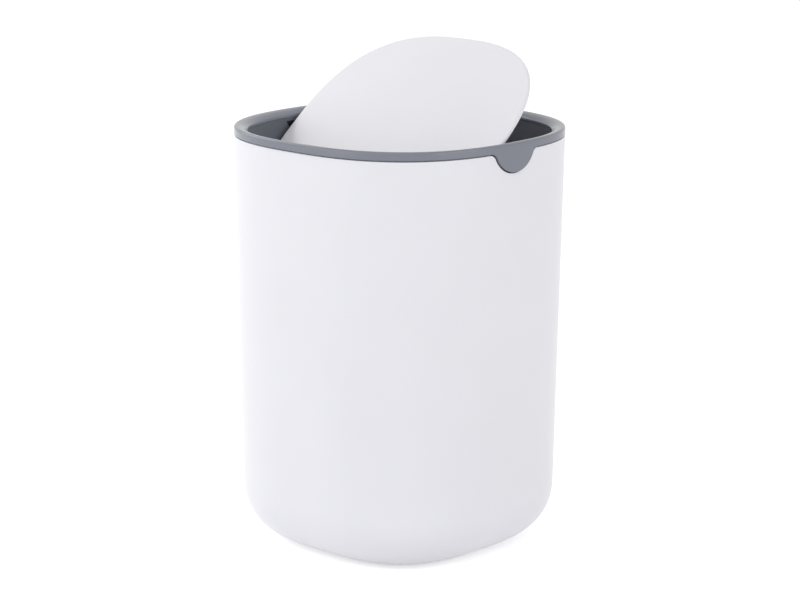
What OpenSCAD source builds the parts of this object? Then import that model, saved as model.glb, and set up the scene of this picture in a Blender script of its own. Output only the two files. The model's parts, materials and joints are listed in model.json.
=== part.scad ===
// Countertop trash can with a removable rim frame and a weighted swing lid.
// Millimetres, +Z up. The origin is on the rest plane under the can's centre.
// The thumb tab is on the +X face. The lid turns about a line along X, and its
// -Y half dips into the can, as it does here: every piece is drawn with the
// lid open.

/* [Overall] */
// Height from the rest plane to the crest of the rim
total_h = 200; // [150:1:260]
// Width of the rim across its flat sides
rim_w = 144.5; // [130:0.1:165]
// Squareness of the can's plan: 2 is a circle, larger is squarer
plan_power = 2.65; // [2.3:0.01:3.2]

/* [Can] */
// How far the rim stands proud of the can at the middle of a side
rim_overhang = 0.85; // [0.3:0.05:1.2]
// How far it stands proud at the corners
corner_overhang = 0.05; // [0:0.05:0.8]
// Draft of the can's side, in degrees
can_draft = 1; // [0.2:0.01:2.5]
// Radius of the rounding between side and base
base_r = 26.6; // [12:0.1:34]
// Thickness of the can's side
can_wall = 2; // [1.4:0.1:3]
// Thickness of the can's floor
can_floor = 2.4; // [2:0.1:4]
// Rounding of the can's top outer edge
can_edge_r = 0.3; // [0.2:0.05:0.9]
// Diameter of the shallow recess in the middle of the underside
recess_d = 44; // [20:1:54]
// Depth of that recess
recess_depth = 0.8; // [0.3:0.1:1.2]

/* [Feet] */
// Diameter of a non-slip foot pad
foot_d = 12; // [8:0.5:14]
// How far a pad stands out of the base
foot_proud = 0.4; // [0.2:0.1:1]
// Depth of a pad's pocket in the base
foot_pocket = 1; // [0.5:0.1:1.5]
// Distance between neighbouring pads, centre to centre
foot_pitch = 51; // [44:0.5:56]
// Clearance round a pad in its pocket
foot_play = 0.1; // [0.05:0.05:0.3]

/* [Rim frame] */
// Height of the band that shows above the can
band_h = 3.8; // [3.5:0.05:7]
// Shadow gap under the band and round the thumb tab
seam = 0.6; // [0.3:0.05:0.8]
// How far the shadow gap goes in from the can's side
seam_depth = 1.2; // [0.5:0.1:1.3]
// Rounding of the band's top outer edge
band_edge_r = 1; // [0.5:0.1:1.8]
// Radius of the crown, from the crest in to the lip
crown_r = 6.8; // [6:0.1:9]
// Rounding of the inner lip
lip_r = 0.7; // [0.3:0.05:1]
// Height of the inner lip's upright face
lip_h = 0.8; // [0.5:0.1:1.5]
// How far the lip overhangs the skirt inside
lip_overhang = 0.35; // [0.3:0.05:1.5]
// Thickness of the skirt that drops into the can, at the middle of a side
skirt_wall = 2.4; // [2:0.1:3]
// Depth of the skirt's lower edge below the crest
skirt_depth = 22; // [19:0.5:40]
// Clearance between skirt and can
skirt_play = 0.4; // [0.2:0.05:0.8]
// Lead-in chamfer on the skirt's lower edge
skirt_lead = 0.8; // [0.3:0.1:1]

/* [Thumb tab] */
// Radius of the half-moon tab
tab_r = 13.6; // [10:0.05:16]
// Depth of the tab's lowest point below the crest
tab_drop = 13.7; // [12:0.05:17]
// Radius of the fillets where tab and band meet
tab_fillet = 4.8; // [1.5:0.1:6]

/* [Pivot] */
// Depth of the lid's axis below the crest
axis_drop = 10.7; // [9.5:0.1:13]
// Diameter of a pivot pin
pin_d = 4.6; // [3:0.1:6]
// Running clearance round a pin in its bearing
pin_play = 0.07; // [0.02:0.01:0.1]
// Diameter of a pin's head
pin_head_d = 7.2; // [6.6:0.1:9]
// Thickness of a pin's head
pin_head_t = 1.2; // [0.8:0.1:2]
// Gap between a pin's tip and the bottom of its pocket
pin_tip_gap = 0.3; // [0.1:0.1:0.6]
// Radius of a bearing plate round the pin
bearing_r = 5.2; // [4.5:0.1:6.5]
// Width of a bearing plate's straight top edge
bearing_top_w = 18.6; // [14:0.2:20]
// Height of that edge above the pin
bearing_rise = 5.6; // [4:0.1:6]
// Thickness of a bearing plate
bearing_t = 2.2; // [1.8:0.1:2.4]
// How far a bearing plate stands out of its pad
bearing_proud = 0.25; // [0.1:0.05:0.5]
// Width of the pad that carries a bearing plate
pad_w = 22; // [20.5:0.5:26]
// How far the pad reaches below the pin
pad_foot = 7.5; // [7:0.1:9]

/* [Lid] */
// Gap between the closed lid and the lip at the middle of a side
lid_gap = 1.65; // [0.8:0.05:2.2]
// The same gap at the corners
lid_corner_gap = 1; // [0.8:0.05:2]
// Thickness of the lid panel
lid_t = 1.8; // [1.4:0.1:2.4]
// Rounding of the panel's upper edge
lid_edge_r = 0.9; // [0.3:0.1:1.2]
// Depth of the closed lid's face below the crest
lid_sink = 2.5; // [1.5:0.1:4]
// Angle at which the lid is drawn open, in degrees
open_deg = 39.1; // [0:0.1:80]

/* [Lid carrier] */
// Length of the carrier's box along the axis
box_l = 100; // [90:1:106]
// Width of the box
box_w = 18; // [16:0.5:24]
// Corner radius of the box
box_r = 4; // [2:0.5:6]
// Wall of the box
box_wall = 1.6; // [1.2:0.1:2]
// Depth of the box's lower edge below the axis
box_depth = 12.4; // [10:0.1:16]
// Height of the screw bosses under the panel
boss_h = 4; // [3:0.1:4.5]
// Diameter of a screw boss
boss_d = 6; // [5:0.1:6.6]
// Distance from the box's end in to an outer boss
boss_outer_in = 12; // [11:0.5:16]
// Distance of the inner bosses from the middle
boss_inner_x = 13; // [8:0.5:18]
// Thickness of an ear along the axis
ear_t = 4.5; // [3:0.1:6]
// Radius of an ear round the axis
ear_r = 6; // [5:0.1:7]
// Distance from an ear's outer face in to the panel's edge
ear_inset = 0.5; // [0.3:0.1:1]
// Thickness of the strap from the box to an ear
strap_t = 2.2; // [1.6:0.1:3]

/* [Counterweight] */
// Gap between the steel bar's end and a cover screw's post
bar_end_gap = 2; // [0.5:0.1:12]
// Gap between the bar's side and the box's wall
bar_side_gap = 1.4; // [0.2:0.1:3.4]
// Thickness of the bar
bar_t = 4; // [2:0.1:5]
// Thickness of the cover under the bar
cover_t = 1.6; // [1.2:0.1:2.5]
// Thickness of the two ribs that hold the bar down
rib_t = 2; // [1.2:0.1:3]
// Distance of each rib from the middle
rib_x = 26; // [20:0.5:28]

/* [Screws] */
// Diameter of a screw's shank
screw_d = 2.6; // [2:0.1:3]
// Clearance round the shank
screw_play = 0.1; // [0.05:0.05:0.2]
// Length of the shank under the head
screw_l = 6; // [5:0.1:6.4]
// Diameter of a screw's head
head_d = 5; // [4.2:0.1:5.4]
// Height of a screw's head
head_h = 1.4; // [1:0.1:1.8]
// Width of the cross slot in a head
slot_w = 0.7; // [0.4:0.1:1]
// Distance from the box's end in to a cover screw
cover_screw_in = 5; // [4.6:0.1:6]

/* [Hidden] */

// Facets round the plan, and along a quarter-round
facets = 72;
round_steps = 9;
small_steps = 3;
crown_steps = 5;
$fn = 48;
// A little extra so that a cut passes right through a face
cut = 1;

// Can
band_low = total_h - band_h;
can_top = band_low - seam;
can_top_half = rim_w / 2 - rim_overhang;
fillet_top = foot_proud + base_r;
fillet_half = can_half(fillet_top);
inner_r = base_r - can_wall;
floor_z = foot_proud + can_floor;
can_corner = corner_of(can_top_half, plan_power);

// Rim frame, from the outside in
rim_half = rim_w / 2;
rim_power = power_of(rim_half, can_corner + corner_overhang);
skirt_low = total_h - skirt_depth;
lip_half = skirt_in(can_top) - lip_overhang;
crown_run = rim_half - band_edge_r - lip_half - lip_r;
crown_end = asin(crown_run / (crown_r - lip_r));
lip_z = total_h - crown_r + (crown_r - lip_r) * cos(crown_end);
lip_low = lip_z - lip_h;
tab_z = total_h - tab_drop + tab_r;

// Pivot
axis_z = total_h - axis_drop;
bearing_x = lip_half - bearing_proud;
pocket_x = bearing_x + bearing_t;
pin_tip_x = pocket_x - pin_tip_gap;

// Lid, measured from its axis when closed
lid_half = lip_half - lid_gap;
lid_power = power_of(lid_half, corner_of(lip_half, rim_power) - lid_corner_gap);
lid_top = axis_drop - lid_sink;
lid_under = lid_top - lid_t;
plate_top = lid_under - boss_h;
plate_low = plate_top - box_wall;
box_low = -box_depth;
ear_out = lid_half - ear_inset;
ear_in = ear_out - ear_t;
post_x = box_l / 2 - cover_screw_in;
boss_outer_x = box_l / 2 - boss_outer_in;
bar_l = 2 * (post_x - boss_d / 2 - bar_end_gap);
bar_w = box_w - 2 * (box_wall + bar_side_gap);

// Half-width of the can's outside at height z
function can_half(z) = can_top_half - (can_top - z) * tan(can_draft);
// Half-widths of the skirt's outside and inside at height z
function skirt_out(z) = can_half(z) - can_wall - skirt_play;
function skirt_in(z) = skirt_out(z) - skirt_wall;

// Distance from the middle to a corner of a soft-square plan of some squareness
function corner_of(half, power) = half * pow(2, 0.5 - 1 / power);
// Squareness of the plan that has its corners at a given distance
function power_of(half, corner) = 1 / (0.5 - ln(corner / half) / ln(2));

// Radius of the soft-square plan of a given half-width, at an angle
function plan_r(half, angle, power) =
    half / pow(pow(abs(cos(angle)), power) + pow(abs(sin(angle)), power), 1 / power);

// A row is [half-width of the plan, inset all round, height, squareness]; where
// the squareness is left out it is the can's
function row_points(row) = [
    for (i = [0 : facets - 1])
        let (angle = 360 * i / facets,
             power = is_undef(row[3]) ? plan_power : row[3],
             r = plan_r(row[0], angle, power) - row[1])
            [r * cos(angle), r * sin(angle), row[2]]
];

// Row of the rim's own plan
function rim_row(half, z) = [half, 0, z, rim_power];

// Quarter-round seen in section: list of [inset, height] pairs
function quarter(r, steps, from, to) = [
    for (k = [0 : steps])
        let (t = from + (to - from) * k / steps)
            [r * (1 - cos(t)), r * sin(t)]
];

// Skin over rows that follow each other, closed into a ring or capped
module loft(rows, ring = false) {
    count = len(rows);
    points = [for (row = rows) each row_points(row)];
    spans = ring ? count - 1 : count - 2;
    sides = [
        for (j = [0 : spans], i = [0 : facets - 1])
            let (next = (i + 1) % facets, up = ((j + 1) % count) * facets, low = j * facets)
                each [[low + i, up + i, up + next], [low + i, up + next, low + next]]
    ];
    last = (count - 1) * facets;
    caps = ring ? [] : [
        [for (i = [0 : facets - 1]) i],
        [for (i = [facets - 1 : -1 : 0]) last + i]
    ];
    polyhedron(points, concat(sides, caps), convexity = 8);
}

// Moves 2D shapes drawn in (Y, Z) onto the +X side, from x0 to x1
module along_x(x0, x1) {
    translate([x0, 0, 0])
        rotate([90, 0, 90])
            linear_extrude(x1 - x0)
                children();
}

// A cylinder along X about the lid's axis line
module disc_x(r, x0, x1) {
    translate([x0, 0, 0])
        rotate([0, 90, 0])
            cylinder(r = r, h = x1 - x0);
}

// The same piece on the left, turned half round
module on_left() {
    rotate([0, 0, 180])
        children();
}

// Rounded rectangle
module soft_rect(l, w, r) {
    square([l - 2 * r, w], center = true);
    square([l, w - 2 * r], center = true);
    for (x = [-1, 1], y = [-1, 1])
        translate([x * (l / 2 - r), y * (w / 2 - r)])
            circle(r);
}

// Rounded block from z0 to z1
module soft_block(l, w, r, z0, z1) {
    translate([0, 0, z0])
        linear_extrude(z1 - z0)
            soft_rect(l, w, r);
}

// Outline in (Y, Z) of the half-moon tab, or grown by the seam, of its notch
module moon(grow, top) {
    r = tab_r + grow;
    f = tab_fillet - grow;
    edge = band_low - grow;
    fz = edge - f;
    fy = sqrt(pow(r + f, 2) - pow(tab_z - fz, 2));
    ty = fy * r / (r + f);
    tz = tab_z + (fz - tab_z) * r / (r + f);
    intersection() {
        translate([0, tab_z])
            circle(r, $fn = 96);
        translate([-r, tab_z - r - cut])
            square([2 * r, edge - tab_z + r + cut]);
    }
    difference() {
        polygon([[-fy, edge], [-ty, tz], [ty, tz], [fy, edge]]);
        for (side = [-1, 1])
            translate([side * fy, fz])
                circle(f);
    }
    translate([-fy, edge])
        square([2 * fy, top - edge]);
}

// Outline in (Y, Z) of a bearing plate: a disc that widens to a straight top
module shield() {
    half = bearing_top_w / 2;
    reach = norm([half, bearing_rise]);
    lean = atan2(bearing_rise, half) - acos(bearing_r / reach);
    ty = bearing_r * cos(lean);
    tz = bearing_r * sin(lean);
    circle(bearing_r);
    polygon([[-half, bearing_rise], [-ty, tz], [ty, tz], [half, bearing_rise]]);
}

// One foot pad; sx and sy say which corner
module foot_pad(sx, sy) {
    color("#3a3b3e")
        translate([sx * foot_pitch / 2, sy * foot_pitch / 2, 0])
            cylinder(d = foot_d, h = foot_proud + foot_pocket);
}

// Self-tapping screw with its head's seat at z = 0, pointing up
module screw() {
    tip = screw_d / 2;
    difference() {
        translate([0, 0, -head_h])
            cylinder(d = head_d, h = head_h);
        for (turn = [0, 90])
            rotate([0, 0, turn])
                translate([-head_d / 2 + slot_w, -slot_w / 2, -head_h - cut])
                    cube([head_d - 2 * slot_w, slot_w, cut + head_h / 2]);
    }
    cylinder(d = screw_d, h = screw_l - tip);
    translate([0, 0, screw_l - tip])
        cylinder(d1 = screw_d, d2 = screw_d / 3, h = tip);
}

// Places pieces drawn about the closed lid's axis at the drawn angle
module on_lid() {
    translate([0, 0, axis_z])
        rotate([open_deg, 0, 0])
            children();
}

// The white tapered can, with its thumb notch and foot pockets
module can_body() {
    outer_base = [for (p = quarter(base_r, round_steps, 90, 0))
                      [fillet_half, p[0], fillet_top - p[1]]];
    top_edge = [for (p = quarter(can_edge_r, small_steps, 0, 90))
                    [can_top_half, p[0], can_top - can_edge_r + p[1]]];
    inner_base = [for (p = quarter(inner_r, round_steps, 0, 90))
                      [fillet_half - can_wall, p[0], floor_z + inner_r - p[1]]];
    color("#eeeef2")
        difference() {
            loft(concat(outer_base, top_edge,
                        [[can_top_half - can_wall, 0, can_top]], inner_base));
            along_x(can_half(can_top - tab_drop) - 3 * can_wall, rim_half + cut)
                moon(seam, total_h);
            for (sx = [-1, 1], sy = [-1, 1])
                translate([sx * foot_pitch / 2, sy * foot_pitch / 2, foot_proud - cut])
                    cylinder(d = foot_d + 2 * foot_play, h = foot_pocket + cut);
            translate([0, 0, foot_proud - cut])
                cylinder(d = recess_d, h = recess_depth + cut);
        }
}

module foot_front_left() { foot_pad(-1, -1); }
module foot_front_right() { foot_pad(1, -1); }
module foot_back_left() { foot_pad(-1, 1); }
module foot_back_right() { foot_pad(1, 1); }

// Solid of the rim frame without its tab and bearing pads
module rim_ring() {
    band_edge = [for (p = quarter(band_edge_r, small_steps, 0, 90))
                     rim_row(rim_half - p[0], total_h - band_edge_r + p[1])];
    crown = [for (k = [1 : crown_steps - 1])
                 let (t = crown_end * k / crown_steps)
                     rim_row(rim_half - band_edge_r - crown_r * sin(t),
                             total_h - crown_r * (1 - cos(t)))];
    lip = [for (p = quarter(lip_r, small_steps, 90 - crown_end, 0))
               rim_row(lip_half + p[0], lip_z + p[1])];
    loft(concat(
        [rim_row(rim_half, band_low)],
        band_edge,
        crown,
        lip,
        [rim_row(lip_half, lip_low),
         rim_row(skirt_in(can_top), lip_low - lip_overhang),
         rim_row(skirt_in(skirt_low), skirt_low),
         [skirt_out(skirt_low) - skirt_lead, 0, skirt_low],
         [skirt_out(skirt_low), 0, skirt_low + skirt_lead],
         [skirt_out(can_top), 0, can_top],
         [can_top_half - seam_depth, 0, can_top],
         [can_top_half - seam_depth, 0, band_low]]),
        ring = true);
}

// Wall as thick as the tab, from the skirt out to the band's face
module tab_wall() {
    low = total_h - tab_drop - cut;
    inner = skirt_out(low) - skirt_wall / 2;
    mid = band_low + seam;
    loft([rim_row(rim_half, low), rim_row(rim_half, mid), [inner, 0, mid], [inner, 0, low]],
         ring = true);
}

// The grey frame that lifts off: band, lip, skirt, thumb tab and bearing pads
module rim_frame() {
    color("#8d919b")
        difference() {
            union() {
                rim_ring();
                intersection() {
                    tab_wall();
                    along_x(can_half(can_top - tab_drop) - 3 * can_wall, rim_half + cut)
                        moon(0, band_low + seam);
                }
                for (side = [0, 180])
                    rotate([0, 0, side])
                        translate([lip_half, -pad_w / 2, axis_z - pad_foot])
                            cube([skirt_in(skirt_low) + skirt_wall / 2 - lip_half, pad_w,
                                  lip_z - axis_z + pad_foot]);
            }
            for (side = [0, 180])
                rotate([0, 0, side])
                    translate([0, 0, axis_z])
                        along_x(bearing_x, pocket_x)
                            shield();
        }
}

// Bearing plate on the right; its bore carries the pin
module bearing() {
    color("#17181a")
        translate([0, 0, axis_z])
            difference() {
                along_x(bearing_x, pocket_x)
                    shield();
                disc_x(pin_d / 2 + pin_play, bearing_x - cut, pocket_x + cut);
            }
}

module bearing_right() { bearing(); }
module bearing_left() { on_left() bearing(); }

// Where the screws that hold the panel stand along the axis
panel_screw_x = [-boss_outer_x, -boss_inner_x, boss_inner_x, boss_outer_x];

// The white lid panel with its screw bosses
module lid_panel() {
    top_edge = [for (p = quarter(lid_edge_r, small_steps, 0, 90))
                    [lid_half, p[0], lid_top - lid_edge_r + p[1], lid_power]];
    color("#e8e8ec")
        on_lid()
            difference() {
                union() {
                    loft(concat([[lid_half, 0, lid_under, lid_power]], top_edge));
                    for (x = panel_screw_x)
                        translate([x, 0, plate_top])
                            cylinder(d = boss_d, h = boss_h + lid_t / 2);
                }
                for (x = panel_screw_x)
                    translate([x, 0, plate_top - cut])
                        cylinder(d = screw_d + 2 * screw_play,
                                 h = screw_l - box_wall + cut + screw_play);
            }
}

// The carrier under the panel: box for the weight, straps and ears
module lid_carrier() {
    color("#d9dadf")
        on_lid()
            difference() {
                union() {
                    difference() {
                        soft_block(box_l, box_w, box_r, box_low, lid_under);
                        soft_block(box_l - 2 * box_wall, box_w - 2 * box_wall,
                                   box_r - box_wall / 2, plate_top, lid_under + cut);
                        soft_block(box_l - 2 * box_wall, box_w - 2 * box_wall,
                                   box_r - box_wall / 2, box_low - cut, plate_low);
                    }
                    for (side = [-1, 1]) {
                        translate([side * post_x, 0, box_low])
                            cylinder(d = boss_d, h = plate_low - box_low + box_wall / 2);
                        translate([side * rib_x - rib_t / 2, -box_w / 2 + box_wall / 2,
                                   box_low + bar_t])
                            cube([rib_t, box_w - box_wall,
                                  plate_low - box_low - bar_t + box_wall / 2]);
                    }
                    for (side = [0, 180])
                        rotate([0, 0, side]) {
                            translate([box_l / 2 - box_wall, -ear_r, lid_under - strap_t])
                                cube([ear_out - box_l / 2 + box_wall, 2 * ear_r, strap_t]);
                            disc_x(ear_r, ear_in, ear_out);
                            translate([ear_in, -ear_r, 0])
                                cube([ear_t, 2 * ear_r, lid_under]);
                        }
                }
                for (side = [0, 180])
                    rotate([0, 0, side])
                        disc_x(pin_d / 2, ear_in - cut, ear_out + cut);
                for (x = panel_screw_x)
                    translate([x, 0, plate_low - cut])
                        cylinder(d = screw_d + 2 * screw_play, h = box_wall + 2 * cut);
                for (side = [-1, 1])
                    translate([side * post_x, 0, box_low - cut])
                        cylinder(d = screw_d + 2 * screw_play, h = screw_l + cut);
            }
}

// Steel bar that swings the lid shut
module counterweight() {
    color("#8f9296")
        on_lid()
            translate([-bar_l / 2, -bar_w / 2, box_low])
                cube([bar_l, bar_w, bar_t]);
}

// Cover that closes the box and carries the bar
module weight_cover() {
    color("#d9dadf")
        on_lid()
            difference() {
                soft_block(box_l, box_w, box_r, box_low - cover_t, box_low);
                for (side = [-1, 1])
                    translate([side * post_x, 0, box_low - cover_t - cut])
                        cylinder(d = screw_d + 2 * screw_play, h = cover_t + 2 * cut);
            }
}

// Pivot pin on the right: head inside its ear, tip in its bearing
module pivot_pin() {
    color("#9a9da2")
        on_lid() {
            disc_x(pin_d / 2, ear_in, pin_tip_x);
            disc_x(pin_head_d / 2, ear_in - pin_head_t, ear_in);
        }
}

module pivot_pin_right() { pivot_pin(); }
module pivot_pin_left() { mirror([1, 0, 0]) pivot_pin(); }

// Four screws that clamp the carrier to the panel's bosses
module panel_screws() {
    color("#b9bcc0")
        on_lid()
            for (x = panel_screw_x)
                translate([x, 0, plate_low])
                    screw();
}

// Two screws that hold the cover
module cover_screws() {
    color("#b9bcc0")
        on_lid()
            for (side = [-1, 1])
                translate([side * post_x, 0, box_low - cover_t])
                    screw();
}

can_body();
foot_front_left();
foot_front_right();
foot_back_left();
foot_back_right();
rim_frame();
bearing_left();
bearing_right();
lid_panel();
lid_carrier();
counterweight();
weight_cover();
pivot_pin_left();
pivot_pin_right();
panel_screws();
cover_screws();
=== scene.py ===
"""Looks of the countertop trash can with a swing lid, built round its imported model.

Shapes are modelled in millimetres about the can's centre line, or about the closed
lid's axis, and turned to metres in the model's own frame when a piece is finished.
"""
import json
import math

import bmesh
import bpy
from mathutils import Matrix, Vector

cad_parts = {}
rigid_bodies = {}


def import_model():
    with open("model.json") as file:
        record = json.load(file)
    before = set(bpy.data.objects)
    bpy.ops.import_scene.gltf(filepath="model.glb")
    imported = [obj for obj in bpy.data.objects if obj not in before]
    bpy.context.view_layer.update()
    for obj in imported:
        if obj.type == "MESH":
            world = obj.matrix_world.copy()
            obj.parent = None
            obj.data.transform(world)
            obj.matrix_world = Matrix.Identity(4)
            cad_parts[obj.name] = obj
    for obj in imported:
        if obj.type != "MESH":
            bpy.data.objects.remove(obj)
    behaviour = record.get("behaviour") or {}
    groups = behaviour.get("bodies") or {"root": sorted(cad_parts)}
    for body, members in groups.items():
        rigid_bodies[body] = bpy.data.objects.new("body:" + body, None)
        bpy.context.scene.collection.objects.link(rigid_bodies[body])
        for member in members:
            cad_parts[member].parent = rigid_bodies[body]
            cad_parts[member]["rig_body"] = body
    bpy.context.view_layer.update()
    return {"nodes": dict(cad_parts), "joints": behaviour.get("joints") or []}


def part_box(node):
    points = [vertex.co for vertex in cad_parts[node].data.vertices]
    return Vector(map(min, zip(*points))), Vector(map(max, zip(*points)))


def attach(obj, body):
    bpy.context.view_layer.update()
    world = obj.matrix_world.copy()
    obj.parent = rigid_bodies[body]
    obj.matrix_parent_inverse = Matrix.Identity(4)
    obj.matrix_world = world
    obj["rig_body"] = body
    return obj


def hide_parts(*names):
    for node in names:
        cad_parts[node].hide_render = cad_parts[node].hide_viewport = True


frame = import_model()

MM = 0.001


# ---------------------------------------------------------------- camera

# The photograph's camera, worked back from the object's outlines
IMAGE_WIDTH = 800
FOCAL_PIXELS = 2754.3
SENSOR = 36.0
CAMERA_DISTANCE = 1278.4
CAMERA_HEIGHT = 411.0
CAMERA_AZIMUTH = 43.177
CAMERA_PITCH = 13.026
CAMERA_YAW = 0.017
CAMERA_ROLL = 0.201


def make_camera():
    """Camera at the photograph's viewing angle, aimed a little down at the can."""
    pitch, yaw, roll = (math.radians(a) for a in (CAMERA_PITCH, CAMERA_YAW, CAMERA_ROLL))
    ahead = Vector((math.sin(yaw) * math.cos(pitch), math.cos(yaw) * math.cos(pitch),
                    -math.sin(pitch)))
    level = Vector((math.cos(yaw), -math.sin(yaw), 0))
    above = level.cross(ahead)
    right = level * math.cos(roll) + above * math.sin(roll)
    up = above * math.cos(roll) - level * math.sin(roll)
    place = Matrix((right, up, -ahead)).transposed().to_4x4()
    place.translation = Vector((0, -CAMERA_DISTANCE, CAMERA_HEIGHT)) * MM
    camera = bpy.data.objects.new("camera", bpy.data.cameras.new("camera"))
    camera.data.sensor_width = SENSOR
    camera.data.lens = FOCAL_PIXELS * SENSOR / IMAGE_WIDTH
    camera.matrix_world = Matrix.Rotation(math.radians(CAMERA_AZIMUTH), 4, "Z") @ place
    bpy.context.scene.collection.objects.link(camera)
    bpy.context.scene.camera = camera


make_camera()


# ---------------------------------------------------------------- sizes, in millimetres

can_low, can_high = (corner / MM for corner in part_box("can_body"))
rim_low, rim_high = (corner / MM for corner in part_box("rim_frame"))
panel_low, panel_high = (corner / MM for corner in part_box("lid_panel"))
swing = next(joint for joint in frame["joints"] if joint["name"] == "lid_swing")

# Squareness of the can's plan: 2 is a circle, larger is squarer
PLAN_POWER = 2.65
TOP = rim_high.z

# Can
CAN_TOP = can_high.z
CAN_TOP_HALF = can_high.y
CAN_LOW = can_low.z
CAN_DRAFT = math.tan(math.radians(1.0))
CAN_WALL = 2.0
CAN_FLOOR = 2.4
CAN_EDGE_R = 0.3
CAN_INNER_ROWS = (180, 150, 110, 70, 40)
BASE_R = 26.6
RECESS_R = 22.0
RECESS_DEPTH = 0.8
RECESS_EDGE_R = 0.4
GATE_R = 1.4
GATE_H = 0.35
GATE_EDGE_W = 0.3
GATE_EDGE_H = 0.15
FOOT_R = 6.0
FOOT_PLAY = 0.1
FOOT_POCKET = 1.0
FOOT_PITCH = 51.0
FOOT_EDGE_R = 0.3
FOOT_EYE_R = 0.6
GROOVES_AT = (1.4, 3.2)
GROOVE_W = 0.8
GROOVE_D = 0.2

# Rim frame
RIM_HALF = rim_high.x
SKIRT_LOW = rim_low.z
CORNER_OVERHANG = 0.05
BAND_H = 3.8
SEAM_DEPTH = 1.2
BAND_EDGE_R = 1.0
CROWN_R = 6.8
LIP_R = 0.7
LIP_H = 0.8
LIP_OVERHANG = 0.35
SKIRT_WALL = 2.4
SKIRT_PLAY = 0.4
SKIRT_LEAD = 0.8
SKIRT_INNER_ROWS = (190, 184)
BAND_LOW = TOP - BAND_H
SEAM = BAND_LOW - CAN_TOP

# Thumb tab
TAB_R = 13.6
TAB_DROP = 13.7
TAB_FILLET = 4.8
TAB_Z = TOP - TAB_DROP + TAB_R

# Pivot
AXIS_Z = swing["pos_m"][2] / MM
PIN_R = 2.3
PIN_PLAY = 0.07
PIN_HEAD_R = 3.6
PIN_HEAD_T = 1.2
PIN_HEAD_EDGE = 0.1
PIN_TIP_GAP = 0.3
PIN_CHAMFER = 0.4
BEARING_R = 5.2
BEARING_TOP_W = 18.6
BEARING_RISE = 5.6
BEARING_T = 2.2
BEARING_PROUD = 0.25
BEARING_LEAD = 0.5
PAD_W = 22.0
PAD_FOOT = 7.5

# Lid, measured from its axis when closed
LID_HALF = panel_high.x
LID_CORNER_GAP = 1.0
LID_TOP = 8.2
LID_T = 1.8
LID_EDGE_R = 0.9
LID_UNDER_EDGE = 0.2
LID_UNDER = LID_TOP - LID_T
OPEN_ANGLE = math.radians(39.1)

# Carrier under the lid
BOX_L = 100.0
BOX_W = 18.0
BOX_R = 4.0
BOX_WALL = 1.6
BOX_LOW = -12.4
BOSS_H = 4.0
BOSS_R = 3.0
BOSS_X = (-38.0, -13.0, 13.0, 38.0)
PLATE_TOP = LID_UNDER - BOSS_H
PLATE_LOW = PLATE_TOP - BOX_WALL
EAR_T = 4.5
EAR_R = 6.0
EAR_INSET = 0.5
EAR_OUT = LID_HALF - EAR_INSET
EAR_IN = EAR_OUT - EAR_T
STRAP_T = 2.2
POST_INSET = 5.0
POST_X = BOX_L / 2 - POST_INSET
BAR_L = 80.0
BAR_W = 12.0
BAR_T = 4.0
COVER_T = 1.6
RIB_T = 2.0
RIB_X = 26.0
CARRIER_SOFT = 0.25
COVER_SOFT = 0.35
BAR_SOFT = 0.4

# Screws
SCREW_R = 1.3
SCREW_PLAY = 0.1
SCREW_L = 6.0
SCREW_TIP_R = 0.35
CORE_R = SCREW_R * 0.8
HEAD_R = 2.5
HEAD_H = 1.4
HEAD_EDGE = 0.15
CROSS_L = 2.7
CROSS_W = 0.64
CROSS_DEPTH = 0.75
CROSS_TAPER = (0.45, 0.8, 1)
THREAD_PITCH = 1.1
THREAD_TURNS = 4
THREAD_FOOT_R = SCREW_R * 0.78
THREAD_FLANK = 0.25

# Domes of the two heads: radius from the middle, and how far below the dome's top
PIN_DOME = ((1.2, 0.0), (2.4, 0.08), (3.2, 0.28), (PIN_HEAD_R, 0.6))
SCREW_DOME = ((0.9, 0.0), (1.5, 0.06), (2.0, 0.22), (2.35, 0.5), (HEAD_R, 0.85))

# Steps round the soft-square plan and along its roundings
AROUND = 192
EDGE_STEPS = 4
BASE_STEPS = 24
FLOOR_STEPS = 18
CROWN_STEPS = 12
LIP_STEPS = 6
LID_STEPS = 8

# Sizes that only the modelling needs: how far a tool reaches past what it cuts, the
# distance at which two points are one, and the angle past which an edge is drawn sharp
SPARE = 1.0
SAME = 1e-5
SHARP = math.radians(32)


def can_half(z):
    """Half-width of the can's outside at height z."""
    return CAN_TOP_HALF - (CAN_TOP - z) * CAN_DRAFT


def skirt_out(z):
    """Half-width of the skirt's outside at height z."""
    return can_half(z) - CAN_WALL - SKIRT_PLAY


def skirt_in(z):
    """Half-width of the skirt's inside at height z."""
    return skirt_out(z) - SKIRT_WALL


def corner_of(half, power):
    """Distance from the middle to a corner of a soft-square plan."""
    return half * 2 ** (0.5 - 1 / power)


def power_of(half, corner):
    """Squareness of the plan that has its corners at a given distance."""
    return 1 / (0.5 - math.log2(corner / half))


LIP_HALF = skirt_in(CAN_TOP) - LIP_OVERHANG
CROWN_END = math.asin((RIM_HALF - BAND_EDGE_R - LIP_HALF - LIP_R) / (CROWN_R - LIP_R))
LIP_Z = TOP - CROWN_R + (CROWN_R - LIP_R) * math.cos(CROWN_END)
LIP_LOW = LIP_Z - LIP_H
RIM_POWER = power_of(RIM_HALF, corner_of(CAN_TOP_HALF, PLAN_POWER) + CORNER_OVERHANG)
LID_POWER = power_of(LID_HALF, corner_of(LIP_HALF, RIM_POWER) - LID_CORNER_GAP)
BEARING_X = LIP_HALF - BEARING_PROUD
POCKET_X = BEARING_X + BEARING_T

# Carries a shape drawn about the closed lid's axis to the lid as it stands open
ON_LID = Matrix.Translation((0, 0, AXIS_Z)) @ Matrix.Rotation(OPEN_ANGLE, 4, "X")
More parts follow.
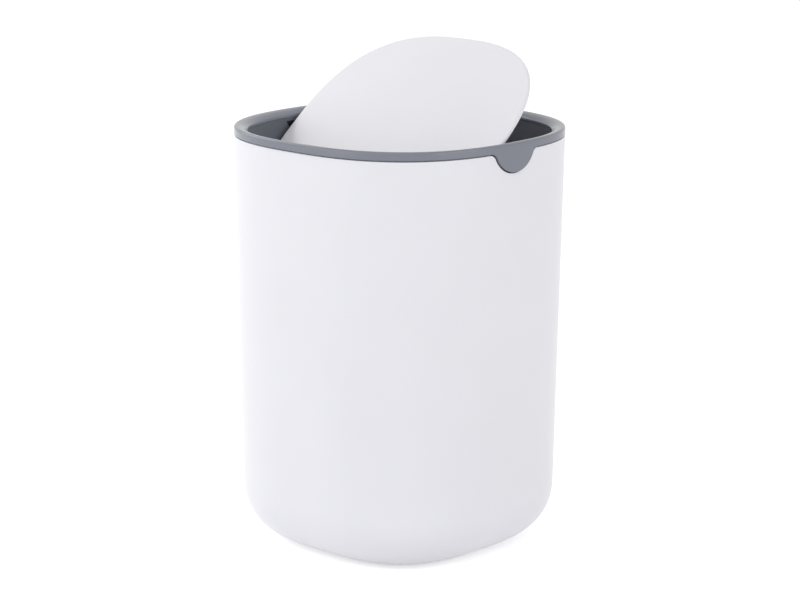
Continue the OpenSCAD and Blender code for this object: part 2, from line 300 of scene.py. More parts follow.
# Puts a shape turned about Z on the lid's axis line, along +X, and its twin on the left
ALONG_X = Matrix.Rotation(math.pi / 2, 4, "Y")
AS_DRAWN = Matrix.Identity(4)
TO_LEFT = Matrix.Rotation(math.pi, 4, "Z")


# ---------------------------------------------------------------- modelling

def quarter(radius, steps, start, end):
    """Section of a rounding: (inset, height) pairs between two angles in degrees."""
    angles = [math.radians(start + (end - start) * k / steps) for k in range(steps + 1)]
    return [(radius * (1 - math.cos(a)), radius * math.sin(a)) for a in angles]


def arc(y, z, radius, start, end, steps):
    """Points (y, z) along an arc, between two angles in degrees."""
    angles = [math.radians(start + (end - start) * k / steps) for k in range(steps + 1)]
    return [(y + radius * math.cos(a), z + radius * math.sin(a)) for a in angles]


def close_holes(bm):
    """Closes the two ends that a spun line leaves open."""
    rims = [edge for edge in bm.edges if len(edge.link_faces) == 1]
    bmesh.ops.holes_fill(bm, edges=rims, sides=0)


def soft_square(rows, ring=False):
    """Skin of rows (half-width, inset, height, squareness), spun and drawn out to the plan.

    Where a row leaves out its squareness it is the can's. A row of half-width 0 stays a
    circle, with its radius as a negative inset.
    """
    bm = bmesh.new()
    half_of = bm.verts.layers.float.new("half")
    inset_of = bm.verts.layers.float.new("inset")
    power_of_row = bm.verts.layers.float.new("power")
    line = []
    for half, inset, z, *rest in rows:
        vert = bm.verts.new((half - inset, 0, z))
        vert[half_of] = half
        vert[inset_of] = inset
        vert[power_of_row] = rest[0] if rest else PLAN_POWER
        line.append(vert)
    pairs = list(zip(line, line[1:]))
    if ring:
        pairs.append((line[-1], line[0]))
    edges = [bm.edges.new(pair) for pair in pairs]
    bmesh.ops.spin(bm, geom=line + edges, cent=(0, 0, 0), axis=(0, 0, 1), dvec=(0, 0, 0),
                   angle=2 * math.pi, steps=AROUND, use_merge=True, use_duplicate=False)
    for vert in bm.verts:
        angle = math.atan2(vert.co.y, vert.co.x)
        cosine, sine, power = math.cos(angle), math.sin(angle), vert[power_of_row]
        reach = (abs(cosine) ** power + abs(sine) ** power) ** (-1 / power)
        radius = vert[half_of] * reach - vert[inset_of]
        vert.co.x = radius * cosine
        vert.co.y = radius * sine
    if not ring:
        close_holes(bm)
    bmesh.ops.recalc_face_normals(bm, faces=bm.faces)
    return bm


def turned(profile, steps=48):
    """Closed solid of revolution round Z from a profile of (radius, height) points."""
    bm = bmesh.new()
    line = [bm.verts.new((radius, 0, z)) for radius, z in profile]
    edges = [bm.edges.new(pair) for pair in zip(line, line[1:])]
    bmesh.ops.spin(bm, geom=line + edges, cent=(0, 0, 0), axis=(0, 0, 1), dvec=(0, 0, 0),
                   angle=2 * math.pi, steps=steps, use_merge=True, use_duplicate=False)
    close_holes(bm)
    bmesh.ops.recalc_face_normals(bm, faces=bm.faces)
    return bm


def rod(radius, low, high, steps=48):
    """Plain cylinder round Z."""
    return turned([(radius, low), (radius, high)], steps)


def prism(outline, low, high):
    """Outline of (y, z) points, pulled out along X."""
    bm = bmesh.new()
    face = bm.faces.new([bm.verts.new((low, y, z)) for y, z in outline])
    pulled = bmesh.ops.extrude_face_region(bm, geom=[face])["geom"]
    verts = [item for item in pulled if isinstance(item, bmesh.types.BMVert)]
    bmesh.ops.translate(bm, vec=(high - low, 0, 0), verts=verts)
    bmesh.ops.recalc_face_normals(bm, faces=bm.faces)
    return bm


def block(low, high, corner=0.0):
    """Box between two corners, with its upright edges rounded."""
    low, high = Vector(low), Vector(high)
    bm = bmesh.new()
    bmesh.ops.create_cube(bm, size=1)
    bmesh.ops.scale(bm, vec=high - low, verts=bm.verts)
    bmesh.ops.translate(bm, vec=(high + low) / 2, verts=bm.verts)
    if corner:
        upright = [edge for edge in bm.edges
                   if abs(edge.verts[0].co.z - edge.verts[1].co.z) > SAME]
        bmesh.ops.bevel(bm, geom=upright, offset=corner, affect="EDGES", segments=10,
                        profile=0.5, material=-1)
    return bm


def slab(length, width, low, high, corner):
    """Rounded plate about the middle, between two heights."""
    return block((-length / 2, -width / 2, low), (length / 2, width / 2, high), corner)


def moved(bm, *steps):
    """The shape after some transforms, given in the order in which they apply."""
    for step in steps:
        bmesh.ops.transform(bm, matrix=step, verts=bm.verts)
    return bm


def shift(x=0.0, y=0.0, z=0.0):
    return Matrix.Translation((x, y, z))


def combine(body, tool, operation):
    """Boolean of two closed shapes; both are used up and the result comes back."""
    holders = []
    for bm in (body, tool):
        mesh = bpy.data.meshes.new("work")
        bm.to_mesh(mesh)
        bm.free()
        holders.append(bpy.data.objects.new("work", mesh))
        bpy.context.scene.collection.objects.link(holders[-1])
    modifier = holders[0].modifiers.new("combine", "BOOLEAN")
    modifier.object = holders[1]
    modifier.operation = operation
    modifier.solver = "EXACT"
    depsgraph = bpy.context.evaluated_depsgraph_get()
    mesh = bpy.data.meshes.new_from_object(holders[0].evaluated_get(depsgraph))
    result = bmesh.new()
    result.from_mesh(mesh)
    spent = [holder.data for holder in holders] + [mesh]
    for holder in holders:
        bpy.data.objects.remove(holder)
    for data in spent:
        bpy.data.meshes.remove(data)
    return result


def cut(body, *tools):
    """The body with each tool taken out of it."""
    for tool in tools:
        body = combine(body, tool, "DIFFERENCE")
    return body


def join(body, *parts):
    """The body with each part added to it."""
    for part in parts:
        body = combine(body, part, "UNION")
    return body


def beside(*shapes):
    """Several separate shapes in one mesh."""
    whole = bmesh.new()
    for bm in shapes:
        mesh = bpy.data.meshes.new("work")
        bm.to_mesh(mesh)
        bm.free()
        whole.from_mesh(mesh)
        bpy.data.meshes.remove(mesh)
    return whole


def finish(name, bm, node, material, soften=0.0):
    """Turns a shape into the finished piece that stands for a CAD node."""
    bmesh.ops.remove_doubles(bm, verts=bm.verts, dist=SAME)
    bmesh.ops.scale(bm, vec=(MM, MM, MM), verts=bm.verts)
    for face in bm.faces:
        face.smooth = True
    for edge in bm.edges:
        edge.smooth = len(edge.link_faces) == 2 and edge.calc_face_angle() < SHARP
    mesh = bpy.data.meshes.new(name)
    bm.to_mesh(mesh)
    bm.free()
    mesh.materials.append(material)
    piece = bpy.data.objects.new(name, mesh)
    bpy.context.scene.collection.objects.link(piece)
    if soften:
        edges = piece.modifiers.new("soft edges", "BEVEL")
        edges.width = soften * MM
        edges.segments = 2
        edges.limit_method = "ANGLE"
        edges.angle_limit = SHARP
        edges.use_clamp_overlap = True
    piece.modifiers.new("even normals", "WEIGHTED_NORMAL").keep_sharp = True
    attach(piece, frame["nodes"][node]["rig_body"])
    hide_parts(node)
    return piece


# ---------------------------------------------------------------- materials

def linear(code):
    """Linear RGBA of an sRGB hex colour."""
    parts = [int(code[i:i + 2], 16) / 255 for i in (1, 3, 5)]
    curve = [c / 12.92 if c <= 0.04045 else ((c + 0.055) / 1.055) ** 2.4 for c in parts]
    return (*curve, 1.0)


def add(tree, kind, settings=None, links=None):
    """Adds a node: settings are its properties or its inputs' values, links feed inputs."""
    made = tree.nodes.new("ShaderNode" + kind)
    for key, value in (settings or {}).items():
        if isinstance(key, str) and hasattr(made, key):
            setattr(made, key, value)
        else:
            made.inputs[key].default_value = value
    for key, source in (links or {}).items():
        tree.links.new(source, made.inputs[key])
    return made


def new_material(name):
    """An empty material, its node tree, and the coordinates that its patterns read."""
    made = bpy.data.materials.new(name)
    made.use_nodes = True
    made.node_tree.nodes.clear()
    place = add(made.node_tree, "TexCoord").outputs["Object"]
    return made, made.node_tree, place


def per_mm(size):
    """Scale of a pattern on metre coordinates whose features are this many millimetres."""
    return 1 / (size * MM)


def shades(tree, dark, light, margin, pattern):
    """Colour that runs from dark to light with a pattern, flat within the margin of its ends."""
    ramp = add(tree, "ValToRGB", links={"Fac": pattern.outputs["Fac"]})
    for stop, at, code in zip(ramp.color_ramp.elements, (margin, 1 - margin), (dark, light)):
        stop.position = at
        stop.color = linear(code)
    return ramp.outputs["Color"]


def drift(tree, middle, either_way, pattern):
    """Roughness that strays either way from its middle with a pattern."""
    return add(tree, "MapRange", {"To Min": middle - either_way, "To Max": middle + either_way},
               {"Value": pattern.outputs["Fac"]}).outputs["Result"]


def moulded(name, light, dark, gloss, grain_mm, grain_depth_mm, ior=1.49):
    """Injection-moulded plastic.

    Colour drifts between two near shades as the melt flowed, roughness drifts with the
    mould's polish, and a fine relief of the given grain breaks up the reflections.
    """
    flow_mm, polish_mm = 45, 14
    made, tree, place = new_material(name)
    flow = add(tree, "TexNoise", {"Scale": per_mm(flow_mm), "Detail": 2.0}, {"Vector": place})
    polish = add(tree, "TexNoise", {"Scale": per_mm(polish_mm), "Detail": 4.0},
                 {"Vector": place})
    grain = add(tree, "TexNoise", {"Scale": per_mm(grain_mm), "Detail": 3.0},
                {"Vector": place})
    colour = shades(tree, dark, light, 0.3, flow)
    rough = drift(tree, gloss, 0.03, polish)
    relief = add(tree, "Bump", {"Strength": 1.0, "Distance": grain_depth_mm * MM},
                 {"Height": grain.outputs["Fac"]})
    shader = add(tree, "BsdfPrincipled", {"IOR": ior},
                 {"Base Color": colour, "Roughness": rough, "Normal": relief.outputs["Normal"]})
    add(tree, "OutputMaterial", links={"Surface": shader.outputs["BSDF"]})
    return made


def metal(name, tint, shade, gloss, spangle_mm, line_mm, line_depth_mm, along):
    """Bare or plated metal, with the fine lines that its tool left across one axis."""
    length_of_lines = 40
    made, tree, place = new_material(name)
    spangle = add(tree, "TexNoise", {"Scale": per_mm(spangle_mm), "Detail": 3.0},
                  {"Vector": place})
    colour = shades(tree, shade, tint, 0.35, spangle)
    spacing = [line_mm if axis == along else line_mm * length_of_lines for axis in "XYZ"]
    stretch = add(tree, "Mapping", {"Scale": [per_mm(size) for size in spacing]},
                  {"Vector": place})
    lines = add(tree, "TexNoise", {"Scale": 1.0, "Detail": 2.0},
                {"Vector": stretch.outputs["Vector"]})
    rough = drift(tree, gloss, 0.06, lines)
    relief = add(tree, "Bump", {"Strength": 1.0, "Distance": line_depth_mm * MM},
                 {"Height": lines.outputs["Fac"]})
    shader = add(tree, "BsdfPrincipled", {"Metallic": 1.0},
                 {"Base Color": colour, "Roughness": rough, "Normal": relief.outputs["Normal"]})
    add(tree, "OutputMaterial", links={"Surface": shader.outputs["BSDF"]})
    return made


# Polypropylene from a polished mould: cool white, soft gloss, faint orange peel
can_white = moulded("polypropylene_gloss_moulded_can", "#ececf1", "#eaeaef",
                    gloss=0.30, grain_mm=2.5, grain_depth_mm=0.004)
lid_white = moulded("polypropylene_gloss_moulded_lid", "#ecebf0", "#eae9ee",
                    gloss=0.30, grain_mm=2.5, grain_depth_mm=0.004)
# The same plastic from a blasted mould, duller because nobody sees it in use
carrier_white = moulded("polypropylene_matt_moulded_carrier", "#e0e0e2", "#dcdcdf",
                        gloss=0.55, grain_mm=0.5, grain_depth_mm=0.010)
# Grey polypropylene from a finely stoned mould: satin, so the crown carries soft streaks
rim_grey = moulded("polypropylene_satin_moulded_rim", "#7e828d", "#7b7f8a",
                   gloss=0.18, grain_mm=0.6, grain_depth_mm=0.002)
# The frame's inside comes off a blasted core: the same grey, but dull, and painted darker to
# stand in for the shade that falls inside the frame
skirt_grey_painted_shade = moulded("polypropylene_matt_painted_shade_skirt", "#62666e", "#5e626a",
                     gloss=0.55, grain_mm=0.5, grain_depth_mm=0.010)
# Acetal is slick and slightly waxy, and black hides its seams
bearing_black = moulded("acetal_black_moulded_bearing", "#17181a", "#141517",
                        gloss=0.35, grain_mm=0.6, grain_depth_mm=0.005, ior=1.48)
# Thermoplastic rubber, dull and dry, with the speckle of an etched mould
foot_rubber = moulded("rubber_etched_moulded_foot", "#37383b", "#323336",
                      gloss=0.80, grain_mm=0.4, grain_depth_mm=0.030, ior=1.52)
# Centreless-ground stainless: fine rings round the pin
pin_steel = metal("stainless_steel_ground_pin", "#c9c8c6", "#bdbcba", gloss=0.28,
                  spangle_mm=3.0, line_mm=0.12, line_depth_mm=0.002, along="X")
# Zinc plate on cold-drawn bar: bluish and cloudy, with drawing lines along it
weight_steel = metal("steel_zinc_plated_drawn_bar", "#bfc3c8", "#a9adb2", gloss=0.42,
                     spangle_mm=6.0, line_mm=0.25, line_depth_mm=0.004, along="Y")
screw_zinc = metal("steel_zinc_plated_screw", "#c9cdd2", "#b3b7bd", gloss=0.34,
                   spangle_mm=2.0, line_mm=0.20, line_depth_mm=0.002, along="Z")


# ---------------------------------------------------------------- can

def moon(grow, top):
    """Outline in (y, z) of the half-moon tab or, grown by the seam, of its notch."""
    radius = TAB_R + grow
    fillet = TAB_FILLET - grow
    edge = BAND_LOW - grow
    fillet_z = edge - fillet
    fillet_y = math.sqrt((radius + fillet) ** 2 - (TAB_Z - fillet_z) ** 2)
    lean = math.degrees(math.atan2(TAB_Z - fillet_z, fillet_y))
    return [*arc(-fillet_y, fillet_z, fillet, 90, lean, 12),
            *arc(0, TAB_Z, radius, 180 + lean, 360 - lean, 60)[1:-1],
            *arc(fillet_y, fillet_z, fillet, 180 - lean, 90, 12),
            (fillet_y, top), (-fillet_y, top)]


def make_can():
    """One shell from the gate mark round to the floor inside, then notch and pad pockets."""
    fillet_top = CAN_LOW + BASE_R
    fillet_half = can_half(fillet_top)
    inner_r = BASE_R - CAN_WALL
    floor_z = CAN_LOW + CAN_FLOOR
    recess_z = CAN_LOW + RECESS_DEPTH
    side_rows, notch_rows = 8, 12
    notch_low = TOP - TAB_DROP - 2 * SPARE
    edge_low = CAN_TOP - CAN_EDGE_R
    # Underside, from the gate mark out to the rounding, then up the outside
    rows = [(0, -GATE_R + GATE_EDGE_W, recess_z - GATE_H),
            (0, -GATE_R, recess_z - GATE_H + GATE_EDGE_H), (0, -GATE_R, recess_z)]
    rows += [(0, -RECESS_R + RECESS_EDGE_R - inset, recess_z - RECESS_EDGE_R + height)
             for inset, height in quarter(RECESS_EDGE_R, EDGE_STEPS, 90, 0)]
    rows += [(0, -RECESS_R - inset, CAN_LOW + RECESS_EDGE_R - height)
             for inset, height in quarter(RECESS_EDGE_R, EDGE_STEPS, 0, 90)]
    rows += [(fillet_half, inset, fillet_top - height)
             for inset, height in quarter(BASE_R, BASE_STEPS, 90, 0)]
    for k in range(1, side_rows + 1):
        z = fillet_top + (notch_low - fillet_top) * k / side_rows
        rows.append((can_half(z), 0, z))
    for k in range(1, notch_rows):
        z = notch_low + (edge_low - notch_low) * k / notch_rows
        rows.append((can_half(z), 0, z))
    rows += [(CAN_TOP_HALF, inset, edge_low + height)
             for inset, height in quarter(CAN_EDGE_R, EDGE_STEPS, 0, 90)]
    # Inside, down to the floor
    rows += [(CAN_TOP_HALF - CAN_WALL, -inset, edge_low + height)
             for inset, height in quarter(CAN_EDGE_R, EDGE_STEPS, 90, 0)]
    rows += [(can_half(z) - CAN_WALL, 0, z) for z in CAN_INNER_ROWS]
    rows += [(fillet_half - CAN_WALL, inset, floor_z + inner_r - height)
             for inset, height in quarter(inner_r, FLOOR_STEPS, 0, 90)]
    notch = prism(moon(SEAM, TOP + SPARE), can_half(notch_low) - 3 * CAN_WALL,
                  RIM_HALF + SPARE)
    pockets = [moved(rod(FOOT_R + FOOT_PLAY, CAN_LOW - SPARE, CAN_LOW + FOOT_POCKET, 64),
                     shift(sx * FOOT_PITCH / 2, sy * FOOT_PITCH / 2))
               for sx in (-1, 1) for sy in (-1, 1)]
    shell = cut(soft_square(rows), notch, *pockets)
    finish("can_shell", shell, "can_body", can_white)


FEET = {"foot_front_left": (-1, -1), "foot_front_right": (1, -1),
        "foot_back_left": (-1, 1), "foot_back_right": (1, 1)}


def make_feet():
    """Pads with a rounded lower edge and two fine grooves in the tread."""
    profile = [(FOOT_EYE_R, 0.0)]
    for start in GROOVES_AT:
        end = start + GROOVE_W
        profile += [(start, 0.0), (start + GROOVE_D, GROOVE_D), (end - GROOVE_D, GROOVE_D),
                    (end, 0.0)]
    profile += [(FOOT_R - inset, FOOT_EDGE_R - height)
                for inset, height in quarter(FOOT_EDGE_R, EDGE_STEPS, 90, 0)]
    profile += [(FOOT_R, CAN_LOW + FOOT_POCKET)]
    for node, (sx, sy) in FEET.items():
        pad = moved(turned(profile, 64), shift(sx * FOOT_PITCH / 2, sy * FOOT_PITCH / 2))
        finish(node.replace("foot", "pad"), pad, node, foot_rubber)


# ---------------------------------------------------------------- rim frame

def make_rim():
    """Band, crown, lip, skirt, thumb tab and the two bearing pads, all one moulding."""
    outer_rows = 14
    crown_start, edge_low = RIM_HALF - BAND_EDGE_R, TOP - BAND_EDGE_R
    # Full-depth ring: the apron under the band is cut back to the tab afterwards
    section = [(RIM_HALF, SKIRT_LOW + (edge_low - SKIRT_LOW) * k / outer_rows)
               for k in range(outer_rows)]
    section += [(RIM_HALF - inset, edge_low + height)
                for inset, height in quarter(BAND_EDGE_R, LIP_STEPS, 0, 90)]
    for k in range(1, CROWN_STEPS):
        angle = CROWN_END * k / CROWN_STEPS
        section.append((crown_start - CROWN_R * math.sin(angle),
                        TOP - CROWN_R * (1 - math.cos(angle))))
    section += [(LIP_HALF + inset, LIP_Z + height)
                for inset, height in quarter(LIP_R, LIP_STEPS, 90 - math.degrees(CROWN_END), 0)]
    section += [(LIP_HALF, LIP_LOW), (skirt_in(CAN_TOP), LIP_LOW - LIP_OVERHANG)]
    section += [(skirt_in(z), z) for z in (*SKIRT_INNER_ROWS, SKIRT_LOW)]
    ring = soft_square([(half, 0, z, RIM_POWER) for half, z in section], ring=True)

    seam_half = CAN_TOP_HALF - SEAM_DEPTH
    outside = RIM_HALF + 3 * SPARE
    below = SKIRT_LOW - SPARE
    apron = soft_square([(skirt_out(SKIRT_LOW) - SKIRT_LEAD, 0, below),
                         (skirt_out(SKIRT_LOW) - SKIRT_LEAD, 0, SKIRT_LOW),
                         (skirt_out(SKIRT_LOW), 0, SKIRT_LOW + SKIRT_LEAD),
                         (skirt_out(CAN_TOP), 0, CAN_TOP),
                         (seam_half, 0, CAN_TOP), (seam_half, 0, BAND_LOW),
                         (outside, 0, BAND_LOW), (outside, 0, below)], ring=True)
    tab = prism(moon(0, BAND_LOW + SEAM), skirt_in(SKIRT_LOW) - SPARE, outside + SPARE)
    body = cut(ring, cut(apron, tab))

    pad_out = skirt_in(SKIRT_LOW) + SKIRT_WALL / 2
    for turn in (AS_DRAWN, TO_LEFT):
        pad = block((LIP_HALF, -PAD_W / 2, AXIS_Z - PAD_FOOT), (pad_out, PAD_W / 2, LIP_Z))
        pocket = moved(prism(shield(), BEARING_X, POCKET_X), shift(z=AXIS_Z))
        body = join(body, moved(pad, turn))
        body = cut(body, moved(pocket, turn))
    piece = finish("rim_moulding", body, "rim_frame", rim_grey)

    # The dull grey, painted darker for the shade inside the frame, on every face below the lip
    # that looks in at the can's middle
    piece.data.materials.append(skirt_grey_painted_shade)
    for face in piece.data.polygons:
        inward = face.normal.x * face.center.x + face.normal.y * face.center.y < 0
        if inward and face.center.z < LIP_LOW * MM:
            face.material_index = 1


# ---------------------------------------------------------------- pivot

def shield():
    """Outline in (y, z) about the pin of a bearing plate: a disc with a straight top."""
    half = BEARING_TOP_W / 2
    reach = math.hypot(half, BEARING_RISE)
    lean = math.degrees(math.atan2(BEARING_RISE, half) - math.acos(BEARING_R / reach))
    return [(-half, BEARING_RISE), *arc(0, 0, BEARING_R, 180 - lean, 360 + lean, 36),
            (half, BEARING_RISE)]


def make_bearings():
    """Plates with a countersunk bore."""
    bore = PIN_R + PIN_PLAY
    for node, turn in (("bearing_right", AS_DRAWN), ("bearing_left", TO_LEFT)):
        hole = turned([(bore + BEARING_LEAD + SPARE, BEARING_X - SPARE),
                       (bore, BEARING_X + BEARING_LEAD), (bore, POCKET_X + SPARE)])
        plate = cut(prism(shield(), BEARING_X, POCKET_X), moved(hole, ALONG_X))
        finish(node.replace("bearing", "bearing_plate"),
               moved(plate, shift(z=AXIS_Z), turn), node, bearing_black)


def make_pins():
    """Headed pins: domed head inside the ear, chamfered tip in the bearing."""
    tip = POCKET_X - PIN_TIP_GAP
    profile = [(radius, EAR_IN - PIN_HEAD_T + below) for radius, below in PIN_DOME]
    profile += [(PIN_HEAD_R, EAR_IN - PIN_HEAD_EDGE), (PIN_HEAD_R - PIN_HEAD_EDGE, EAR_IN),
                (PIN_R, EAR_IN), (PIN_R, tip - PIN_CHAMFER), (PIN_R - PIN_CHAMFER, tip)]
    for node, turn in (("pivot_pin_right", AS_DRAWN), ("pivot_pin_left", TO_LEFT)):
        pin = moved(turned(profile), ALONG_X, turn, ON_LID)
        finish(node.replace("pivot_pin", "headed_pin"), pin, node, pin_steel)


# ---------------------------------------------------------------- lid

def make_lid():
    """Flat panel, rounded along its upper edge, with four screw bosses on its underside."""
    edge_z = LID_TOP - LID_EDGE_R
    rows = [(LID_HALF - LID_UNDER_EDGE, 0, LID_UNDER, LID_POWER),
            (LID_HALF, 0, LID_UNDER + LID_UNDER_EDGE, LID_POWER)]
    rows += [(LID_HALF, inset, edge_z + height, LID_POWER)
             for inset, height in quarter(LID_EDGE_R, LID_STEPS, 0, 90)]
    panel = soft_square(rows)
    for x in BOSS_X:
        boss = rod(BOSS_R, PLATE_TOP, LID_UNDER + LID_T / 2)
        panel = join(panel, moved(boss, shift(x)))
    for x in BOSS_X:
        pilot = rod(SCREW_R + SCREW_PLAY, PLATE_TOP - SPARE,
                    PLATE_TOP + SCREW_L - BOX_WALL + SCREW_PLAY)
        panel = cut(panel, moved(pilot, shift(x)))
    finish("lid_face", moved(panel, ON_LID), "lid_panel", lid_white)


def make_carrier():
    """Box for the weight, open below, with a strap and an ear for the pin at each end."""
    body = slab(BOX_L, BOX_W, BOX_LOW, LID_UNDER, BOX_R)
    hollow_l, hollow_w = BOX_L - 2 * BOX_WALL, BOX_W - 2 * BOX_WALL
    hollow_r = BOX_R - BOX_WALL / 2
    body = cut(body, slab(hollow_l, hollow_w, PLATE_TOP, LID_UNDER + SPARE, hollow_r),
               slab(hollow_l, hollow_w, BOX_LOW - SPARE, PLATE_LOW, hollow_r))
    for side in (-1, 1):
        post = rod(BOSS_R, BOX_LOW, PLATE_LOW + BOX_WALL / 2)
        rib = block((-RIB_T / 2, -BOX_W / 2 + BOX_WALL / 2, BOX_LOW + BAR_T),
                    (RIB_T / 2, BOX_W / 2 - BOX_WALL / 2, PLATE_LOW + BOX_WALL / 2))
        body = join(body, moved(post, shift(side * POST_X)), moved(rib, shift(side * RIB_X)))
    for turn in (AS_DRAWN, TO_LEFT):
        strap = block((BOX_L / 2 - BOX_WALL, -EAR_R, LID_UNDER - STRAP_T),
                      (EAR_OUT, EAR_R, LID_UNDER))
        ear = [(-EAR_R, LID_UNDER), *arc(0, 0, EAR_R, 180, 360, 32), (EAR_R, LID_UNDER)]
        body = join(body, moved(strap, turn), moved(prism(ear, EAR_IN, EAR_OUT), turn))
    for turn in (AS_DRAWN, TO_LEFT):
        body = cut(body, moved(rod(PIN_R, EAR_IN - SPARE, EAR_OUT + SPARE), ALONG_X, turn))
    hole_r = SCREW_R + SCREW_PLAY
    for x in BOSS_X:
        body = cut(body, moved(rod(hole_r, PLATE_LOW - SPARE, PLATE_TOP + SPARE), shift(x)))
    for side in (-1, 1):
        body = cut(body, moved(rod(hole_r, BOX_LOW - SPARE, BOX_LOW + SCREW_L),
                               shift(side * POST_X)))
    finish("carrier_moulding", moved(body, ON_LID), "lid_carrier", carrier_white,
           soften=CARRIER_SOFT)


def make_weight():
    """Steel bar, and the cover that shuts it in."""
    bar = block((-BAR_L / 2, -BAR_W / 2, BOX_LOW), (BAR_L / 2, BAR_W / 2, BOX_LOW + BAR_T))
    finish("ballast_bar", moved(bar, ON_LID), "counterweight", weight_steel, soften=BAR_SOFT)
    cover = slab(BOX_L, BOX_W, BOX_LOW - COVER_T, BOX_LOW, BOX_R)
    for side in (-1, 1):
        cover = cut(cover, moved(rod(SCREW_R + SCREW_PLAY, BOX_LOW - COVER_T - SPARE,
                                     BOX_LOW + SPARE), shift(side * POST_X)))
    finish("ballast_cover", moved(cover, ON_LID), "weight_cover", carrier_white,
           soften=COVER_SOFT)


# ---------------------------------------------------------------- screws

def screw():
    """Pan-head self-tapping screw, seat at z = 0, pointing up, with a cross recess."""
    head = [(radius, -HEAD_H + below) for radius, below in SCREW_DOME]
    head += [(HEAD_R, -HEAD_EDGE), (HEAD_R - HEAD_EDGE, 0)]
    shank = [(CORE_R, 0), (CORE_R, SCREW_L - SCREW_R), (SCREW_TIP_R, SCREW_L)]
    body = turned(head + shank, 40)
    for turn in (0, math.pi / 2):
        wing = block((-CROSS_L / 2, -CROSS_W / 2, -HEAD_H - SPARE),
                     (CROSS_L / 2, CROSS_W / 2, -HEAD_H + CROSS_DEPTH))
        deep = [vert for vert in wing.verts if vert.co.z > -HEAD_H]
        bmesh.ops.scale(wing, vec=CROSS_TAPER, verts=deep)
        body = cut(body, moved(wing, Matrix.Rotation(turn, 4, "Z")))
    return beside(body, thread())


def thread():
    """Helical ridge round the shank: a small triangle wound up the core."""
    steps_per_turn = 16
    bm = bmesh.new()
    section = [bm.verts.new((radius, 0, THREAD_FLANK * step)) for step, radius in
               ((1, THREAD_FOOT_R), (2, SCREW_R + SCREW_PLAY), (3, THREAD_FOOT_R))]
    bmesh.ops.spin(bm, geom=[bm.faces.new(section)], cent=(0, 0, 0), axis=(0, 0, 1),
                   dvec=(0, 0, THREAD_PITCH / steps_per_turn),
                   angle=2 * math.pi * THREAD_TURNS, steps=THREAD_TURNS * steps_per_turn,
                   use_merge=False, use_duplicate=False)
    bmesh.ops.recalc_face_normals(bm, faces=bm.faces)
    return bm


def make_screws():
    """Four screws up into the lid's bosses, and two up into the box's posts."""
    panel = beside(*[moved(screw(), shift(x, 0, PLATE_LOW)) for x in BOSS_X])
    finish("panel_screw_set", moved(panel, ON_LID), "panel_screws", screw_zinc)
    cover = beside(*[moved(screw(), shift(side * POST_X, 0, BOX_LOW - COVER_T))
                     for side in (-1, 1)])
    finish("cover_screw_set", moved(cover, ON_LID), "cover_screws", screw_zinc)


# ---------------------------------------------------------------- studio

FLOOR_R = 6.0
FIBRE_MM = 1.5
FIBRE_DEPTH_MM = 0.02
WORLD_GLOW = 0.55
FLOOR_GLOW = 0.52
SOFT_BOX_AWAY = 1.6
SOFT_BOX_SIZE = 1.2
# Name, azimuth from the camera's side and elevation in degrees, and watts
SOFT_BOXES = (("soft_box_left", -60, 15, 6.0), ("soft_box_side", -115, 30, 6.5),
              ("soft_box_right", 55, 15, 6.5), ("soft_box_front", -10, 45, 3.0))


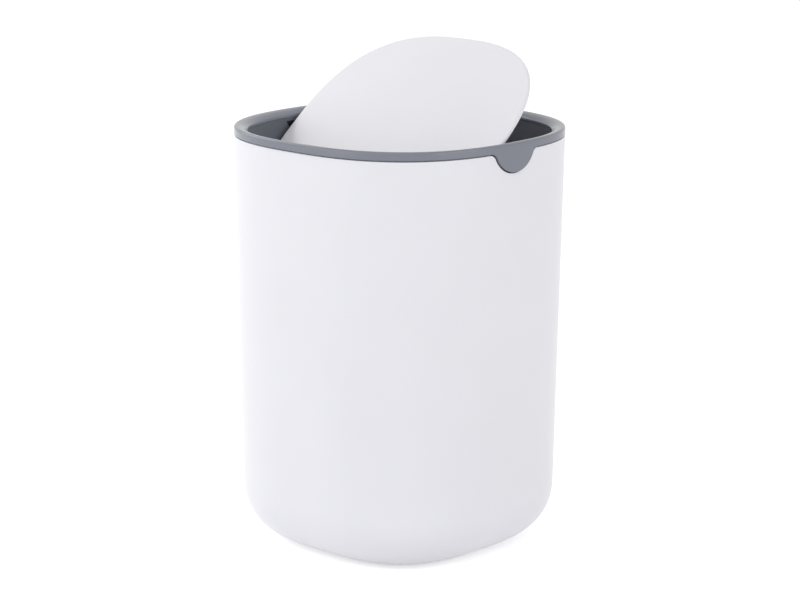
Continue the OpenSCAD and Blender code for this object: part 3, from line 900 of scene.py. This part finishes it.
def make_floor():
    """White paper floor: camera and mirror rays see it lifted to the background's white."""
    made, tree, place = new_material("paper_white_uncoated_floor")
    fibre = add(tree, "TexNoise", {"Scale": per_mm(FIBRE_MM), "Detail": 4.0},
                {"Vector": place})
    relief = add(tree, "Bump", {"Strength": 0.3, "Distance": FIBRE_DEPTH_MM * MM},
                 {"Height": fibre.outputs["Fac"]})
    paper = add(tree, "BsdfDiffuse", {"Color": linear("#f2f2f3")},
                {"Normal": relief.outputs["Normal"]})
    glow = add(tree, "Emission", {"Color": linear("#ffffff")},
               {"Strength": seen(tree, FLOOR_GLOW)})
    both = add(tree, "AddShader", links={0: paper.outputs["BSDF"], 1: glow.outputs["Emission"]})
    add(tree, "OutputMaterial", links={"Surface": both.outputs["Shader"]})
    bm = bmesh.new()
    bmesh.ops.create_circle(bm, cap_ends=True, segments=96, radius=FLOOR_R)
    mesh = bpy.data.meshes.new("floor")
    bm.to_mesh(mesh)
    bm.free()
    mesh.materials.append(made)
    floor = bpy.data.objects.new("floor", mesh)
    bpy.context.scene.collection.objects.link(floor)


def seen(tree, strength, unseen=0.0):
    """Strength of a light for camera, mirror and glass rays, and for all the others."""
    rays = add(tree, "LightPath")
    either = add(tree, "Math", {"operation": "MAXIMUM"},
                 {0: rays.outputs["Is Camera Ray"], 1: rays.outputs["Is Glossy Ray"]})
    any_of = add(tree, "Math", {"operation": "MAXIMUM"},
                 {0: either.outputs["Value"], 1: rays.outputs["Is Transmission Ray"]})
    return add(tree, "MapRange", {"To Min": unseen, "To Max": strength},
               {"Value": any_of.outputs["Value"]}).outputs["Result"]


def make_world():
    """White round the can where it is looked at, and a plain even light where it isn't."""
    world = bpy.data.worlds.new("studio")
    bpy.context.scene.world = world
    world.use_nodes = True
    tree = world.node_tree
    tree.nodes.clear()
    sky = add(tree, "Background", {"Color": linear("#ffffff")},
              {"Strength": seen(tree, 1.0, unseen=WORLD_GLOW)})
    add(tree, "OutputWorld", links={"Surface": sky.outputs["Background"]})


def make_lamp(name, azimuth, elevation, power):
    """Square soft box aimed at the can's middle; azimuth counts from the camera's side."""
    turn = math.radians(azimuth + CAMERA_AZIMUTH)
    rise = math.radians(elevation)
    back = Vector((math.sin(turn) * math.cos(rise), -math.cos(turn) * math.cos(rise),
                   math.sin(rise)))
    light = bpy.data.lights.new(name, "AREA")
    light.shape = "SQUARE"
    light.size = SOFT_BOX_SIZE
    light.energy = power
    lamp = bpy.data.objects.new(name, light)
    lamp.location = Vector((0, 0, TOP * MM / 2)) + back * SOFT_BOX_AWAY
    lamp.rotation_mode = "QUATERNION"
    lamp.rotation_quaternion = back.to_track_quat("Z", "Y")
    bpy.context.scene.collection.objects.link(lamp)


def make_studio():
    make_world()
    make_floor()
    for soft_box in SOFT_BOXES:
        make_lamp(*soft_box)
    bpy.context.scene.view_settings.view_transform = "Standard"


make_can()
make_feet()
make_rim()
make_bearings()
make_pins()
make_lid()
make_carrier()
make_weight()
make_screws()
make_studio()
